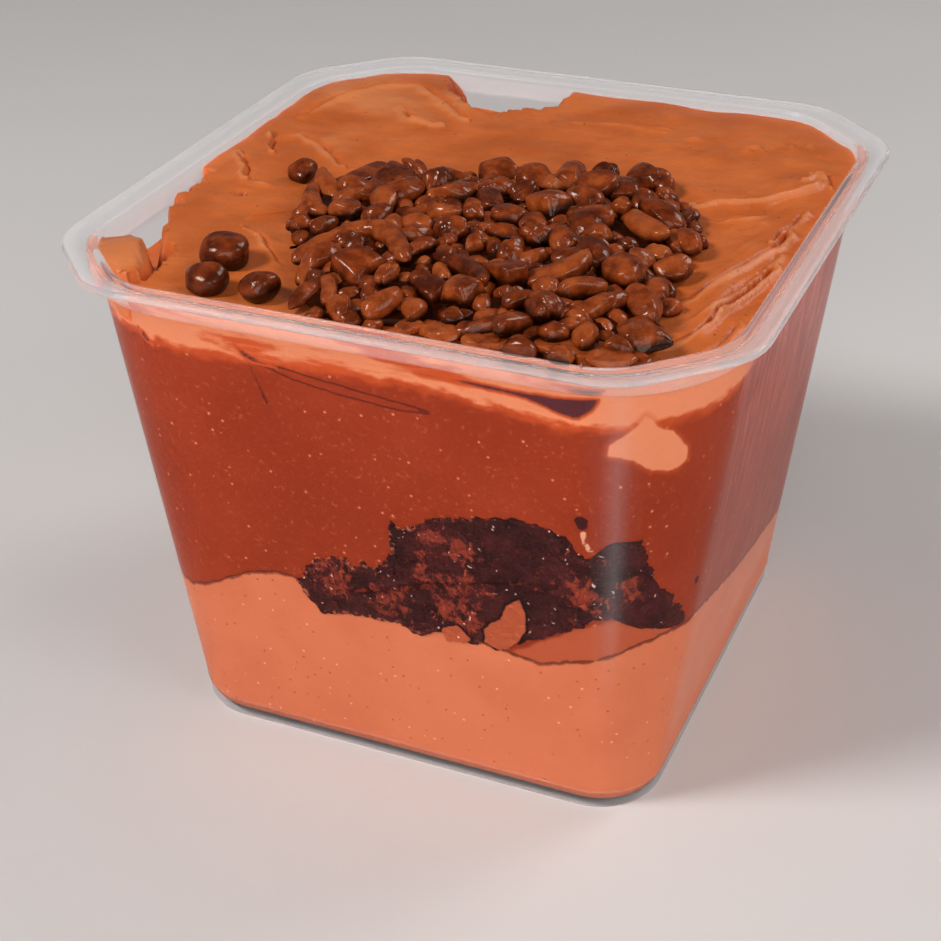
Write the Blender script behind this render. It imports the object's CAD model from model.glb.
import math

import bmesh
import bpy
import numpy as np
from mathutils import Matrix, Vector, noise


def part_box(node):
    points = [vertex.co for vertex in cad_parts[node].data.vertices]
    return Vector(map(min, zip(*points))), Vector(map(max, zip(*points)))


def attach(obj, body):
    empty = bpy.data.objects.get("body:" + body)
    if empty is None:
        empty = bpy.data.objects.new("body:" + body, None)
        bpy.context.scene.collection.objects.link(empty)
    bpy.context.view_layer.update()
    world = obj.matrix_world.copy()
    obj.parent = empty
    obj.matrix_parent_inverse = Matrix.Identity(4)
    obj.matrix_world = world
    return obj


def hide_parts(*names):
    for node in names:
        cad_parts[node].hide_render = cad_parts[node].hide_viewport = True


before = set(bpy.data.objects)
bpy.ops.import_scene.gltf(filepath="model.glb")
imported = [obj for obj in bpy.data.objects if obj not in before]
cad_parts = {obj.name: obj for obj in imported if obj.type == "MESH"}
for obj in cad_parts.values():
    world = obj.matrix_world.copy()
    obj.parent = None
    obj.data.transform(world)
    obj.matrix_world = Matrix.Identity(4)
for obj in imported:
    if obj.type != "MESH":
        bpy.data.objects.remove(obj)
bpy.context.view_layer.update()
print("frame loaded:", len(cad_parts), "nodes")

mm = 0.001
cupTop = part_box("cup")[1].z / mm
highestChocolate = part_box("chocolate_heap")[1].z / mm


def mix(low, high, share):
    return low + (high - low) * share


def hump(distance, width):
    return np.exp(-(distance / width) ** 2)


def ease(value, low, high):
    share = np.clip((value - low) / (high - low), 0, 1)
    return share * share * (3 - 2 * share)


def grain(points, size, octaves=3):
    # soft noise of about -1 to 1 at each point, its lumps about one size across
    spots = np.asarray(points, float).reshape(-1, 3) / size
    values = [noise.fractal(Vector(spot), 0.9, 2.1, octaves) for spot in spots]
    return np.array(values).reshape(np.shape(points)[:-1])


stageSetup = {
    "azimuth": 23.99, "elevation": 31.16, "roll": -1.29,  # degrees
    "distance": 292.39, "aside": -4.11, "above": -7.69, "lookHeight": 40, "lens": 70.11,
    "colours": {"floor": (222, 218, 215), "floorShade": (219, 214, 211)},
    "floorSize": 4000, "floorRoughness": 0.9,
    "skyColour": (1, 0.98, 0.97, 1), "skyStrength": 0.11,
    "lampsLookAt": 45,  # height of the spot that all lamps face
    "lamps": {  # place, size and power
        "keyLamp": ((-400, -410, 660), 230, 4.1), "frontLamp": ((250, -700, 330), 560, 1.8),
        "fillLamp": ((620, -160, 420), 400, 1.2), "backLamp": ((480, 560, 640), 420, 2.3),
    },
}


def linear(colour):
    shares = [channel / 255 for channel in colour]
    return tuple(s / 12.92 if s < 0.04 else ((s + 0.055) / 1.055) ** 2.4 for s in shares) + (1.0,)


def addCamera():
    a, e, r = (math.radians(stageSetup[name]) for name in ("azimuth", "elevation", "roll"))
    back = Vector((math.sin(a) * math.cos(e), -math.cos(a) * math.cos(e), math.sin(e)))
    level = Vector((math.cos(a), math.sin(a), 0))
    upright = back.cross(level)
    right = level * math.cos(r) + upright * math.sin(r)
    up = upright * math.cos(r) - level * math.sin(r)
    place = Vector((0, 0, stageSetup["lookHeight"])) + back * stageSetup["distance"]
    place += right * stageSetup["aside"] + up * stageSetup["above"]
    lens = bpy.data.cameras.new("camera")
    lens.lens = stageSetup["lens"]
    lens.clip_start = 0.01
    lens.clip_end = 20
    camera = bpy.data.objects.new("camera", lens)
    bpy.context.scene.collection.objects.link(camera)
    axes = Matrix((right, up, back)).transposed().to_4x4()
    camera.matrix_world = Matrix.Translation(place * mm) @ axes
    bpy.context.scene.camera = camera


def addLamp(name, place, size, power):
    lamp = bpy.data.lights.new(name, "AREA")
    lamp.shape = "DISK"
    lamp.size = size * mm
    lamp.energy = power
    holder = bpy.data.objects.new(name, lamp)
    holder.location = Vector(place) * mm
    towards = Vector((0, 0, stageSetup["lampsLookAt"])) - Vector(place)
    holder.rotation_euler = towards.to_track_quat("-Z", "Y").to_euler()
    bpy.context.scene.collection.objects.link(holder)


class Paint:
    # builds one finish node by node, and lays the colours of a palette over each other
    def __init__(self, name, palette, ground):
        self.finish = bpy.data.materials.new(name)
        self.finish.use_nodes = True
        self.tree = self.finish.node_tree
        self.tree.nodes.clear()
        self.palette, self.colour = palette, linear(palette[ground])
        self.spot = self.scaled(self.put("ShaderNodeTexCoord").outputs["Object"], 1 / mm)  # in millimetres

    def join(self, value, socket):
        if isinstance(value, bpy.types.NodeSocket):
            self.tree.links.new(value, socket)
        else:
            socket.default_value = value

    def put(self, kind, sockets=None, **settings):
        made = self.tree.nodes.new(kind)
        for name, value in settings.items():
            setattr(made, name, value)
        for name, value in (sockets or {}).items():
            self.join(value, made.inputs[name])
        return made

    def reckon(self, operation, first, second=0):
        return self.put("ShaderNodeMath", {0: first, 1: second}, operation=operation).outputs[0]

    def times(self, first, second):
        return self.reckon("MULTIPLY", first, second)

    def plus(self, first, second):
        return self.reckon("ADD", first, second)

    def scaled(self, vector, scale):
        return self.put("ShaderNodeVectorMath", {0: vector, "Scale": scale}, operation="SCALE").outputs[0]

    def axis(self, index):
        return self.put("ShaderNodeSeparateXYZ", {0: self.spot}).outputs[index]

    def mark(self, name):
        return self.put("ShaderNodeAttribute", attribute_name=name).outputs["Fac"]

    def noise(self, size, detail=3, stretch=None, rough=0.55, spot=None):
        spot = spot or self.spot
        if stretch:
            spot = self.put("ShaderNodeVectorMath", {0: spot, 1: stretch}, operation="MULTIPLY").outputs[0]
        sockets = {"Vector": spot, "Scale": 1 / size, "Detail": detail, "Roughness": rough}
        return self.put("ShaderNodeTexNoise", sockets).outputs["Fac"]

    def ripple(self, height, size, detail, stretch=None):
        return self.times(self.plus(self.noise(size, detail, stretch), -0.5), height)

    def step(self, value, low, high):
        # 0 below low, 1 above high, and eased between
        sockets = {"Value": value, "From Min": low, "From Max": high}
        return self.put("ShaderNodeMapRange", sockets, interpolation_type="SMOOTHSTEP").outputs["Result"]

    def ramp(self, value, low, high, first, last):
        sockets = {"Value": value, "From Min": low, "From Max": high, "To Min": first, "To Max": last}
        return self.put("ShaderNodeMapRange", sockets).outputs["Result"]

    def cells(self, size, spot=None, **settings):
        return self.put("ShaderNodeTexVoronoi", {"Vector": spot or self.spot, "Scale": 1 / size}, **settings)

    def toneOf(self, cells):
        return self.put("ShaderNodeSeparateColor", {0: cells.outputs["Color"]}).outputs[0]

    def specks(self, size, reach, spot=None):
        # small round dots: 1 inside, 0 outside
        cells = self.cells(size, spot)
        near = self.step(cells.outputs["Distance"], reach, reach * 0.4)
        return self.times(near, self.step(self.toneOf(cells), 0.55, 0.6))

    def lay(self, name, share, strength=1):
        if strength != 1:
            share = self.times(share, strength)
        sockets = {0: share, 6: self.colour, 7: linear(self.palette[name])}
        self.colour = self.put("ShaderNodeMix", sockets, data_type="RGBA").outputs[2]

    def bump(self, height, depth, strength, under=None):
        sockets = {"Height": height, "Distance": depth * mm, "Strength": strength}
        if under is not None:
            sockets["Normal"] = under
        return self.put("ShaderNodeBump", sockets).outputs["Normal"]

    def show(self, shader):
        self.tree.links.new(shader.outputs[0], self.put("ShaderNodeOutputMaterial").inputs["Surface"])
        return self.finish

    def cover(self, height, depth, strength, rough, shine, more=None):
        # the palette's colours over a bumped, more or less shining skin
        sockets = {"Base Color": self.colour, "Roughness": rough, "Specular IOR Level": shine}
        sockets["Normal"] = self.bump(height, depth, strength)
        return self.show(self.put("ShaderNodeBsdfPrincipled", {**sockets, **(more or {})}))


def addFloor():
    half = stageSetup["floorSize"] / 2 * mm
    mesh = bpy.data.meshes.new("floor")
    corners = [(-half, -half, 0), (half, -half, 0), (half, half, 0), (-half, half, 0)]
    mesh.from_pydata(corners, [], [(0, 1, 2, 3)])
    p = Paint("paleFloor", stageSetup["colours"], "floor")
    p.lay("floorShade", p.noise(60))
    sockets = {"Base Color": p.colour, "Roughness": stageSetup["floorRoughness"]}
    mesh.materials.append(p.show(p.put("ShaderNodeBsdfPrincipled", sockets)))
    floor = bpy.data.objects.new("floor", mesh)
    bpy.context.scene.collection.objects.link(floor)


def addSky():
    world = bpy.data.worlds.new("softSky")
    world.use_nodes = True
    background = world.node_tree.nodes["Background"]
    background.inputs["Color"].default_value = stageSetup["skyColour"]
    background.inputs["Strength"].default_value = stageSetup["skyStrength"]
    bpy.context.scene.world = world
    bpy.context.scene.view_settings.view_transform = "Standard"


addCamera()
addFloor()
addSky()
for lampName, lampSettings in stageSetup["lamps"].items():
    addLamp(lampName, *lampSettings)
print("camera, light and floor are set")


def addPiece(name, points, faces, finish, slot, *nodes, marks=None, crisp=None):
    mesh = bpy.data.meshes.new(name)
    mesh.from_pydata((np.asarray(points, float).reshape(-1, 3) * mm).tolist(), [], faces)
    mesh.update()
    mesh.shade_smooth()
    if crisp:
        mesh.set_sharp_from_angle(angle=math.radians(crisp))
    for mark, values in (marks or {}).items():
        layer = mesh.attributes.new(mark, "FLOAT", "POINT")
        layer.data.foreach_set("value", np.broadcast_to(values, len(mesh.vertices)).astype(np.float32))
    mesh.materials.append(finish)
    piece = bpy.data.objects.new(name, mesh)
    bpy.context.scene.collection.objects.link(piece)
    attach(piece, "root")
    if nodes:
        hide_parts(*nodes)
    print(name, "has", len(mesh.polygons), "faces")
    return piece


def loft(rings):
    # a closed skin over rings of equal length, anticlockwise from above, from the lowest to the last
    rings = np.asarray(rings, float)
    levels, count = rings.shape[:2]
    points = np.vstack([rings.reshape(-1, 3), rings[0].mean(0), rings[-1].mean(0)])
    faces = []
    for level in range(levels - 1):
        low, high = level * count, (level + 1) * count
        faces += [(low + s, low + (s + 1) % count, high + (s + 1) % count, high + s) for s in range(count)]
    last = (levels - 1) * count
    faces += [((s + 1) % count, s, levels * count) for s in range(count)]
    faces += [(last + s, last + (s + 1) % count, levels * count + 1) for s in range(count)]
    return points, faces


def fromSegment(x, y, ax, ay, bx, by):
    # how far each spot lies from a straight piece of line
    share = np.clip(((x - ax) * (bx - ax) + (y - ay) * (by - ay)) / ((bx - ax) ** 2 + (by - ay) ** 2), 0, 1)
    return np.hypot(x - mix(ax, bx, share), y - mix(ay, by, share))


def markDistance(x, y, corners):
    # how far a spot lies inside an outline, below zero outside
    corners = np.array(corners, float)
    nearest = np.full(np.shape(y), np.inf)
    inside = np.zeros(np.shape(y), bool)
    for (ax, ay), (bx, by) in zip(corners, np.roll(corners, -1, 0)):
        nearest = np.minimum(nearest, fromSegment(x, y, ax, ay, bx, by))
        if ay != by:
            inside ^= ((ay > y) != (by > y)) & (x < ax + (bx - ax) * (y - ay) / (by - ay))
    return np.where(inside, nearest, -nearest)


def insideAny(x, y, outlines):
    return np.max([markDistance(x, y, outline) for outline in outlines], axis=0)


def flatGrain(x, y, size=1.0, octaves=3):
    return grain(np.stack([x, y, 0 * x], -1), size, octaves)


def raised(flat, height):
    # flat points, lifted to a height that depends on where they are
    return np.column_stack([flat, height(flat[:, 0], flat[:, 1])])


cupShape = {
    "flangeHalf": 51, "lipFlare": 0.55, "lipDrop": 0.7, "flangeDip": 0.35,
    "flangeCut": 13.8, "flangeBend": 11.7, "mouthHalf": 47.1, "mouthCut": 12.1, "mouthBend": 11,
    "ledgeHeight": cupTop - 4, "ledgeOut": 0.6, "bodyTopHalf": 47.7, "bodyTopRound": 20.7,
    "baseHalf": 38, "baseRound": 9.5, "footHeight": 3.8, "footEase": 1.1, "wall": 0.8, "floor": 1,
    "sideSteps": 22, "bendSteps": 7, "cutSteps": 3,
    "wallBending": 1.07, "rimBending": 1.24,  # how strongly the plastic bends and mirrors light
    # soft bright line down the front corner: degrees round the corner's middle, and where it fades out
    "hazeAlong": 25, "hazeWidth": 5, "hazeMiddle": 27.6, "hazeStrength": 0.22, "hazeFoot": (20, 40),
    "hazeHead": (78.3, 72.3),
    # rim, from the ledge over the flange into the mouth: half width, cut, bend, height and milk
    "rim": [
        (("ledge", 0.1), 0.6, 3, ("under", -1.2), 0.35), (("ledge", 0.3), 0.6, 2, ("under", -0.4), 0),
        (("ledge", 0.7), 0.8, 1.6, ("under", -0.1), 0), (("lip", -0.5), 0, 0, ("under", -0.05), 0.4),
        (("lip", -0.1), 0, 0, ("under", -0.03), 0.3), (("lip", 0), 0, 0, ("under", 0.06), 0.4),
        (("flange", 0.4), -0.1, -0.1, ("top", -0.2), 0.4), (("flange", 0.1), -0.3, -0.3, ("top", 0), 0.35),
        (("flange", -0.4), -0.5, -0.5, ("top", 0), 0.35),
        (("flange", -0.8), -0.5, -0.5, ("top", -0.12), 0.35),
        (("mouth", 0.8), 0.2, 0.4, ("dip", 0.05), 0.5), (("mouth", 0.3), 0.1, 0.2, ("dip", -0.05), 0.6),
        (("mouth", 0), 0, 0, ("dip", -0.4), 0.35), (("mouth", -0.02), 0, 1, ("under", -1.6), 0.3),
    ],
    # the clear plastic at no milk and at full milk
    "roughness": (0.03, 0.3), "clearness": (1.0, 0.55),
    "tint": (0.97, 0.95, 0.96, 1), "shade": (0.93, 0.91, 0.92, 1),
}
roundCut = 2 - math.sqrt(2)  # a corner's 45 degree cut, as a share of a plain round


def ringPoints(half, cut, bend, z, steps):
    # level rings: a square whose corners turn in two bends of 45 degrees; sizes may differ by point
    sideSteps, bendSteps, cutSteps = steps
    reach = bend * math.tan(math.pi / 8)
    near, far = half - cut - reach, half - bend
    side = [(-1 + 2 * s / sideSteps, 0, 0) for s in range(sideSteps)]
    first = [(1, math.pi / 4 * s / bendSteps, 0) for s in range(bendSteps)]
    level = [(1, math.pi / 4, s / cutSteps) for s in range(cutSteps)]
    second = [(1, math.pi / 4 * (1 + s / bendSteps), 1) for s in range(bendSteps)]
    run, angle, share = np.array((side + first + level + second) * 4).T
    quarter = np.repeat(np.arange(4), len(run) // 4)
    x = run * mix(near, far, share) + bend * np.sin(angle)
    y = -mix(far, near, share) - bend * np.cos(angle)
    along = run * near + bend * angle + share * math.sqrt(2) * (far - near)
    quarterLength = 2 * near + bend * math.pi / 2 + math.sqrt(2) * (far - near)
    along = along + quarter * quarterLength
    along = np.where(along > 2 * quarterLength, along - 4 * quarterLength, along)
    for turn in range(1, 4):
        x, y = np.where(quarter >= turn, -y, x), np.where(quarter >= turn, x, y)
    return np.stack([x, y, np.broadcast_to(z, x.shape)], -1), along


def cupRing(half, cut, bend, z):
    steps = [cupShape[name] for name in ("sideSteps", "bendSteps", "cutSteps")]
    return ringPoints(half, cut, bend, z, steps)[0]


def roundRing(half, bend, z):
    return cupRing(half, bend * roundCut, bend, z)


def bodyRing(z, inset):
    share = z / cupShape["ledgeHeight"]
    half = mix(cupShape["baseHalf"], cupShape["bodyTopHalf"], share)
    return roundRing(half - inset, mix(cupShape["baseRound"], cupShape["bodyTopRound"], share) - inset, z)


def makeClearPlastic(name, bending):
    s = cupShape
    p = Paint(name, {"clear": (255, 255, 255)}, "clear")
    waves, draws, milk = p.noise(14, 2), p.noise(1.6, 2, (1, 1, 0.08)), p.mark("milk")
    plastic = p.put("ShaderNodeBsdfPrincipled", {
        "Base Color": s["tint"], "IOR": bending,
        "Normal": p.bump(draws, 0.03, 0.25, p.bump(waves, 0.35, 0.35)),
        "Roughness": p.ramp(milk, 0, 1, *s["roughness"]),
        "Transmission Weight": p.ramp(milk, 0, 1, *s["clearness"]),
    })
    through = p.put("ShaderNodeBsdfTransparent", {"Color": s["shade"]})
    lampRay = p.put("ShaderNodeLightPath").outputs["Is Shadow Ray"]
    return p.show(p.put("ShaderNodeMixShader", {0: lampRay, 1: plastic.outputs[0], 2: through.outputs[0]}))


def cupRings():
    # each ring, from the foot up the outside and down the inside, with how milky the plastic is there
    s = cupShape
    under, foot, ledgeZ, wall = cupTop - s["lipDrop"], s["footHeight"], s["ledgeHeight"], s["wall"]
    ledge, top = s["bodyTopHalf"] + s["ledgeOut"], s["bodyTopRound"] - 1
    lip = s["flangeHalf"] + s["lipFlare"]
    rings = [(roundRing(s["baseHalf"] - inset, s["baseRound"] - inset, z), 0.9)
             for inset, z in ((s["footEase"], 0), (0.3, s["footEase"] * 0.35))]
    body = [(s["footEase"], 0, 0.3), (foot - 0.2, 0, 0), (foot + 0.1, -0.1, 0.3), (foot + 0.5, -0.12, 0)]
    body += [(mix(foot + 1, ledgeZ - 1, share / 9), 0, 0) for share in range(10)] + [(ledgeZ - 0.5, -0.05, 0)]
    rings += [(bodyRing(z, inset), milk) for z, inset, milk in body]
    rings += [(roundRing(ledge - 0.15, top, ledgeZ - 0.15), 0.3), (roundRing(ledge, top, ledgeZ + 0.1), 0.5)]
    for half, cut, bend, z, milk in s["rim"]:
        start = {"ledge": ledge, "lip": lip, "flange": s["flangeHalf"], "mouth": s["mouthHalf"]}[half[0]]
        corner = "mouth" if half[0] in ("ledge", "mouth") else "flange"
        level = {"under": under, "top": cupTop, "dip": cupTop - s["flangeDip"]}[z[0]]
        sizes = start + half[1], s[corner + "Cut"] + cut, s[corner + "Bend"] + bend, level + z[1]
        rings.append((cupRing(*sizes), milk))
    rings.append((roundRing(s["bodyTopHalf"] - 0.7, top, ledgeZ), 0.2))
    inside = [ledgeZ - 1.2, *[mix(ledgeZ - 1.4, s["floor"] + 2.2, share / 9) for share in range(10)]]
    rings += [(bodyRing(z, wall), 0) for z in [*inside, s["floor"] + 2]]
    rings += [(roundRing(s["baseHalf"] - wall - inset, s["baseRound"] - wall - inset, s["floor"] + lift), 0)
              for inset, lift in ((0.8, 0.4), (2, 0))]
    return rings


def makeCup():
    s = cupShape
    rings = cupRings()
    points, faces = loft([ring for ring, milk in rings])
    milk = np.append(np.repeat([milk for ring, milk in rings], len(rings[0][0])), [0.0, 0.0])
    x, y, z = points.T
    turned = np.degrees(np.arctan2(x - s["hazeMiddle"], -y - s["hazeMiddle"]))
    corner = hump(turned - s["hazeAlong"], s["hazeWidth"]) * (x > s["hazeMiddle"]) * (y < -s["hazeMiddle"])
    milk += s["hazeStrength"] * corner * ease(z, *s["hazeFoot"]) * ease(z, *s["hazeHead"])
    finish, marks = makeClearPlastic("clearWall", s["wallBending"]), {"milk": milk}
    cup = addPiece("clearCup", points, faces, finish, "clear_plastic", "cup", marks=marks, crisp=50)
    cup.data.materials.append(makeClearPlastic("clearRim", s["rimBending"]))
    for face in cup.data.polygons:
        face.material_index = int(face.center.z > (s["ledgeHeight"] - 0.6) * mm)


makeCup()


fillingSetup = {
    "reach": 0.2,  # how far the filling goes into the wall
    "sideSteps": 140, "bendSteps": 20, "cutSteps": 4,
    "lightLevel": 30, "darkLevel": 70.3, "topLevel": 78.5, "bedLevel": 78,
    "frontHumps": [(-4.5, -38, 11), (2.6, -18, 9), (-2, 23, 6), (2.4, 39, 5)],  # height, place across, width
    "fall": 14, "fallFrom": (20, -27),  # how much lower the light mousse lies towards the back right corner
    "footRows": (-0.1, 0.15, 0.4, 0.9, 1.4),  # heights over the cup's floor
    # bump depth and strength, roughness and shine
    "skin": (0.25, 0.6, 0.5, 0.12), "topSkin": (0.4, 0.6, 0.36, 0.26),
    "lightRows": 46, "darkRows": 76, "topRows": 18, "lidShares": [0.97, 0.85, 0.7, 0.5, 0.25, 0.05],
}
floorTop, ledgeHeight, wall = cupShape["floor"], cupShape["ledgeHeight"], cupShape["wall"]


def wallTable():
    # height, half width, corner cut and bend of the cup's inside
    s = cupShape
    rows = [(floorTop, s["baseHalf"] - wall - 2, s["baseRound"] - wall - 2),
            (floorTop + 0.4, s["baseHalf"] - wall - 0.8, s["baseRound"] - wall - 0.8)]
    for z in (floorTop + 2, ledgeHeight - 1.2):
        share = z / ledgeHeight
        rows.append((z, mix(s["baseHalf"], s["bodyTopHalf"], share) - wall,
                     mix(s["baseRound"], s["bodyTopRound"], share) - wall))
    rows.append((ledgeHeight, s["bodyTopHalf"] - 0.7, s["bodyTopRound"] - 1))
    rows = [(z, half, bend * roundCut, bend) for z, half, bend in rows]
    rows.append((cupTop - 0.8, s["mouthHalf"], s["mouthCut"], s["mouthBend"]))
    return np.array(rows).T


wallHeights, wallHalves, wallCuts, wallBends = wallTable()
fillingSteps = [fillingSetup[name] for name in ("sideSteps", "bendSteps", "cutSteps")]


def wallPoints(z, outset=fillingSetup["reach"]):
    # points round the cup's inside at the given heights, moved outwards, and how far round each is
    half, cut, bend = (np.interp(z, wallHeights, sizes) for sizes in (wallHalves, wallCuts, wallBends))
    return ringPoints(half + outset, cut + outset * roundCut, bend + outset, z, fillingSteps)


ringCount = 4 * (fillingSetup["sideSteps"] + 2 * fillingSetup["bendSteps"] + fillingSetup["cutSteps"])


def lightTop(x, y):
    # low at the left corner, humps along the front, falling to the back
    s = fillingSetup
    humps = sum(height * hump(x - middle, width) for height, middle, width in s["frontHumps"])
    fallX, fallY = s["fallFrom"]
    fall = s["fall"] * np.maximum(0, (x - fallX) / 25) * np.clip((y - fallY) / 45, 0, 1.3)
    return s["lightLevel"] + humps * hump(y + 45, 40) - fall + 0.7 * np.sin(x / 9 + y / 13)


def darkTop(x, y):
    return fillingSetup["darkLevel"] + 0.7 * np.sin(x / 8 + 1) + 0.6 * np.sin(y / 11 + x / 23)


def edgeOf(height, level, wobble):
    # a layer's edge round the wall
    ring = wallPoints(np.full(ringCount, float(level)))[0]
    return height(ring[:, 0], ring[:, 1]) + wobble * grain(ring, 3.0, 4)


def lid(ring, height, shares=fillingSetup["lidShares"], middle=None):
    # rings that close a layer towards the middle
    middle = ring[:, :2].mean(0) if middle is None else middle
    return [raised(mix(middle, ring[:, :2], share), height) for share in shares]


lightEdge = edgeOf(lightTop, fillingSetup["lightLevel"], 0.5)
darkEdge = edgeOf(darkTop, fillingSetup["darkLevel"], 0.3)

# what shows against the wall: outlines as distance round from the middle of the front, and height
wallMarks = {
    "gaps": [
        [(-18.4, 73.3), (-16.6, 72.2), (-14.2, 71.1), (-12, 70.7), (-15.5, 70.7), (-17, 71.4)],
        [(8.5, 74.0), (16, 74.3), (24, 74.2), (33.6, 74.6), (32.6, 72.7), (30.6, 71.2), (28.4, 71.8),
         (24, 73.2), (16, 73.7)],
        [(27.5, 76.6), (34.2, 76.4), (33.4, 75.4), (30, 75.8)],
        [(-33.9, 76.2), (-31.9, 75.7), (-32, 74.8)],
        [(-34.4, 72.6), (-32.8, 71.6), (-31.4, 69.9), (-33.2, 70.6)],
    ],
    "patches": [
        [(34.3, 67.2), (36.6, 69), (38.4, 70.9), (39.6, 72.2), (40.8, 69.9), (43.2, 68.4), (45.2, 65.6),
         (45.4, 63.3), (43.5, 62), (40, 62.8), (37.6, 64.6), (34.3, 65.8)],
    ],
    "crumbs": [
        [(29.5, 55.2), (30.5, 55.9), (31.6, 55.2), (31.4, 53.6), (30.3, 53.3)],
        [(48.3, 40.2), (49.7, 40), (49.5, 38.6), (48.4, 38.8)],
    ],
    "threads": [
        [(30.2, 53.3), (31.4, 53.2), (31.2, 51.6), (32.3, 49.7), (31.4, 49.5), (30.6, 51)],
    ],
    "film": [[(54.2, 33), (55.5, 43), (57, 53), (56.2, 66), (58, 73.5), (112, 72), (112, 22), (84, 27),
             (66, 31)]],
    "seam": [[(-17, 71.4), (-12, 70.8), (-7, 70.1), (1, 69.2), (8, 68.5), (11.5, 67.9), (5.5, 67.5),
             (-3, 68.1), (-10, 69.2)]],
    "wedge": [[(19.3, 28.3), (22.8, 26.6), (31, 29), (39, 32.4), (46, 33.4), (42, 36), (37, 38), (30, 36)]],
    "crack": [[(-16.2, 70.4), (-14.2, 64.2), (-13.8, 63.6), (-14.6, 64.2)]],
}
mousseColours = {
    "light": (211, 118, 81), "lightShade": (203, 110, 74), "lightDust": (140, 66, 42),
    "dark": (149, 53, 25), "darkShade": (139, 46, 19), "darkGrain": (170, 79, 44),
    "orange": (196, 80, 36), "peach": (222, 134, 94), "gap": (86, 40, 44), "medium": (176, 82, 50),
    "line": (86, 28, 20), "film": (202, 98, 84), "plum": (60, 20, 20), "pale": (240, 176, 140),
    "top": (216, 112, 54), "topShade": (192, 92, 38), "topPale": (230, 144, 92),
}


def makeLightFinish():
    p = Paint("lightMousse", mousseColours, "lightShade")
    p.lay("light", p.step(p.noise(16, 4), 0.35, 0.7))
    p.lay("lightDust", p.specks(1.4, 0.19), 0.75)
    p.lay("pale", p.specks(1.9, 0.15), 0.7)
    p.lay("line", p.step(p.plus(p.mark("edge"), p.noise(1.2)), 1.05, 0.6), 0.75)
    return p.cover(p.noise(0.8, 4), *fillingSetup["skin"])


def makeWallFinish(name):
    # dark mousse at the wall with the pale smears, air gaps and cracks that show through the plastic
    p = Paint(name, mousseColours, "darkShade")
    p.lay("dark", p.step(p.noise(20, 4), 0.35, 0.7))
    p.lay("darkGrain", p.step(p.noise(0.7), 0.56, 0.78))
    p.lay("peach", p.specks(1.7, 0.18), 0.75)
    ragged, small = p.ripple(3.2, 3, 5, (1, 1, 2.2)), p.ripple(1.2, 2, 4)
    # the band under the rim
    band = p.plus(p.mark("band"), ragged)
    streak = p.plus(p.noise(7, 4, (0.55, 0.55, 2.4)), p.times(p.step(p.axis(0), 26, 35), 0.25))
    p.lay("orange", p.step(band, -1.4, 0.9))
    p.lay("peach", p.times(p.step(band, 0.2, 1.2), p.step(streak, 0.36, 0.5)))
    # the patch at the corner, and where the two mousses run together
    patch = p.plus(p.mark("patches"), small)
    p.lay("orange", p.step(patch, -0.9, 0.1), 0.5)
    p.lay("peach", p.step(patch, -0.1, 0.3))
    p.lay("medium", p.step(p.plus(p.mark("wedge"), small), -0.4, 0.3))
    p.lay("line", p.step(p.plus(p.mark("edge"), p.noise(1.2)), 0.95, 0.6), 0.8)
    p.lay("line", p.step(p.plus(p.mark("crack"), p.times(small, 0.3)), -0.25, 0.1))
    seam = p.reckon("ABSOLUTE", p.plus(p.mark("seam"), p.times(small, 0.4)))
    p.lay("line", p.step(seam, 0.24, 0.08), 0.8)
    # the film and the scratches of the right face
    flow = p.noise(1.6, 5, (1, 1, 0.09), 0.62)
    filmed = p.times(p.step(p.plus(p.mark("film"), p.times(ragged, 0.5)), -0.3, 0.3), p.step(flow, 0.4, 0.7))
    p.lay("film", filmed, p.ramp(p.axis(2), 40, 74, 0.2, 1))
    scratch = p.step(p.noise(0.9, 3, (1, 1, 0.12)), 0.66, 0.72)
    p.lay("line", p.times(scratch, p.step(p.mark("film"), 0, 1.5)), 0.7)
    p.lay("pale", p.step(p.plus(p.mark("threads"), p.times(small, 0.3)), 0, 0.2), 0.7)
    p.lay("plum", p.step(p.plus(p.mark("crumbs"), p.times(small, 0.3)), -0.1, 0.15))
    gap = p.plus(p.mark("gaps"), p.times(small, 0.45))
    p.lay("orange", p.step(gap, -0.4, -0.05))
    p.lay("gap", p.step(gap, -0.1, 0.35))
    return p.cover(p.noise(0.8, 4), *fillingSetup["skin"])


def makeTopFinish():
    p = Paint("spreadMousse", mousseColours, "topShade")
    p.lay("top", p.step(p.noise(13, 4), 0.3, 0.7))
    p.lay("topPale", p.step(p.mark("relief"), 0.2, 0.7), 0.5)
    p.lay("dark", p.step(p.mark("relief"), -0.2, -0.8), 0.6)
    p.lay("line", p.specks(2.2, 0.12), 0.6)
    return p.cover(p.plus(p.noise(2.6), p.times(p.noise(0.9), 0.3)), *fillingSetup["topSkin"])


def marksAt(points, along, lightness):
    # how far each spot on the wall lies inside the outlines, above the light mousse and above the dark
    z = points[..., 2]
    marks = {"band": z - darkEdge - 0.3, "edge": lightness}
    for name, outlines in wallMarks.items():
        marks[name] = insideAny(along, z, outlines)
    return marks


def wallRows(low, high, count):
    # heights, points and distances round for rows up the wall between two edges
    heights = mix(low, high, np.linspace(0, 1, count)[:, None])
    rows, along = zip(*[wallPoints(level) for level in heights])
    return heights, np.array(rows), np.array(along)


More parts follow.
